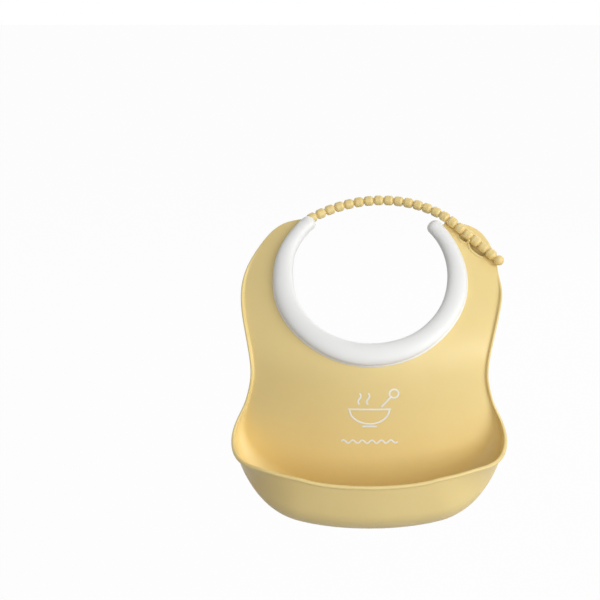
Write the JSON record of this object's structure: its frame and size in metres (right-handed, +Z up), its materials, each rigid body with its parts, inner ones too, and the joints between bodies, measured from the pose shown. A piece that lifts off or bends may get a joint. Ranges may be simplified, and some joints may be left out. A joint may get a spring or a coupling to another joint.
{
  "type": "silicone bib",
  "caption": "Soft moulded baby bib with a deep crumb pocket, padded neck collar and a beaded strap that snaps into a keyhole on one shoulder.",
  "frame": {"origin": "centre of the neck opening, in the plane of the collar's centre line", "axes": "+Z up, -Y forward out of the wearer's chest, +X to the right as seen from the front"},
  "size_m": [0.2234, 0.1689, 0.2414],
  "materials": {
    "chest_panel": "satin pale yellow soft moulding",
    "catch_pocket": "satin pale yellow soft moulding",
    "left_side_flange": "satin pale yellow soft moulding",
    "right_side_flange": "satin pale yellow soft moulding",
    "neck_collar": "satin white soft moulding",
    "keyhole_lip_inner": "satin pale yellow soft moulding",
    "keyhole_lip_outer": "satin pale yellow soft moulding",
    "keyhole_backing": "satin pale yellow soft moulding",
    "strap_root": "satin pale yellow soft moulding",
    "strap_bead_01": "satin pale yellow soft moulding",
    "strap_bead_02": "satin pale yellow soft moulding",
    "strap_bead_03": "satin pale yellow soft moulding",
    "strap_bead_04": "satin pale yellow soft moulding",
    "strap_bead_05": "satin pale yellow soft moulding",
    "strap_bead_06": "satin pale yellow soft moulding",
    "strap_bead_07": "satin pale yellow soft moulding",
    "strap_bead_08": "satin pale yellow soft moulding",
    "strap_bead_09": "satin pale yellow soft moulding",
    "strap_bead_10": "satin pale yellow soft moulding",
    "strap_bead_11": "satin pale yellow soft moulding",
    "strap_bead_12": "satin pale yellow soft moulding",
    "strap_bead_13": "satin pale yellow soft moulding",
    "strap_bead_14": "satin pale yellow soft moulding",
    "strap_bead_15": "satin pale yellow soft moulding",
    "strap_bead_16": "satin pale yellow soft moulding",
    "strap_bead_17": "satin pale yellow soft moulding",
    "strap_bead_18": "satin pale yellow soft moulding",
    "strap_bead_19": "satin pale yellow soft moulding",
    "strap_bead_20": "satin pale yellow soft moulding",
    "strap_bead_21": "satin pale yellow soft moulding",
    "strap_bead_22": "satin pale yellow soft moulding"
  },
  "bodies": {
    "bib": {"chest_panel": "chest_panel", "catch_pocket": "catch_pocket", "left_side_flange": "left_side_flange", "right_side_flange": "right_side_flange", "neck_collar": "neck_collar", "keyhole_lip_inner": "keyhole_lip_inner", "keyhole_lip_outer": "keyhole_lip_outer", "keyhole_backing": "keyhole_backing", "strap_root": "strap_root"},
    "strap_run_1": {"strap_bead_01": "strap_bead_01", "strap_bead_02": "strap_bead_02", "strap_bead_03": "strap_bead_03", "strap_bead_04": "strap_bead_04", "strap_bead_05": "strap_bead_05", "strap_bead_06": "strap_bead_06"},
    "strap_run_2": {"strap_bead_07": "strap_bead_07", "strap_bead_08": "strap_bead_08", "strap_bead_09": "strap_bead_09", "strap_bead_10": "strap_bead_10", "strap_bead_11": "strap_bead_11", "strap_bead_12": "strap_bead_12"},
    "strap_run_3": {"strap_bead_13": "strap_bead_13", "strap_bead_14": "strap_bead_14", "strap_bead_15": "strap_bead_15", "strap_bead_16": "strap_bead_16", "strap_bead_17": "strap_bead_17", "strap_bead_18": "strap_bead_18"},
    "strap_tail": {"strap_bead_19": "strap_bead_19", "strap_bead_20": "strap_bead_20", "strap_bead_21": "strap_bead_21", "strap_bead_22": "strap_bead_22"}
  },
  "joints": [
    {"name": "strap_lift", "type": "hinge", "parent": "bib", "child": "strap_run_1", "pos_m": [-0.05168, 0.04609, 0.03683], "axis": [0.5308, -0.6198, -0.578], "range_deg": [0, 15]},
    {"name": "strap_bend_2", "type": "hinge", "parent": "strap_run_1", "child": "strap_run_2", "pos_m": [-0.00469, 0.05666, 0.0504], "axis": [0.0917, -0.7283, -0.6791], "range_deg": [0, 15]},
    {"name": "strap_bend_3", "type": "hinge", "parent": "strap_run_2", "child": "strap_run_3", "pos_m": [0.0446, 0.04776, 0.04804], "axis": [-0.4063, -0.6683, -0.6232], "range_deg": [0, 15]},
    {"name": "tail_peel", "type": "hinge", "parent": "strap_run_3", "child": "strap_tail", "pos_m": [0.08508, 0.02792, 0.02628], "axis": [-0.6536, -0.5535, -0.5162], "range_deg": [0, 15]}
  ],
  "couplings": [
    {"joint": "strap_bend_2", "follows": "strap_lift", "ratio": 1},
    {"joint": "strap_bend_3", "follows": "strap_lift", "ratio": 1}
  ]
}
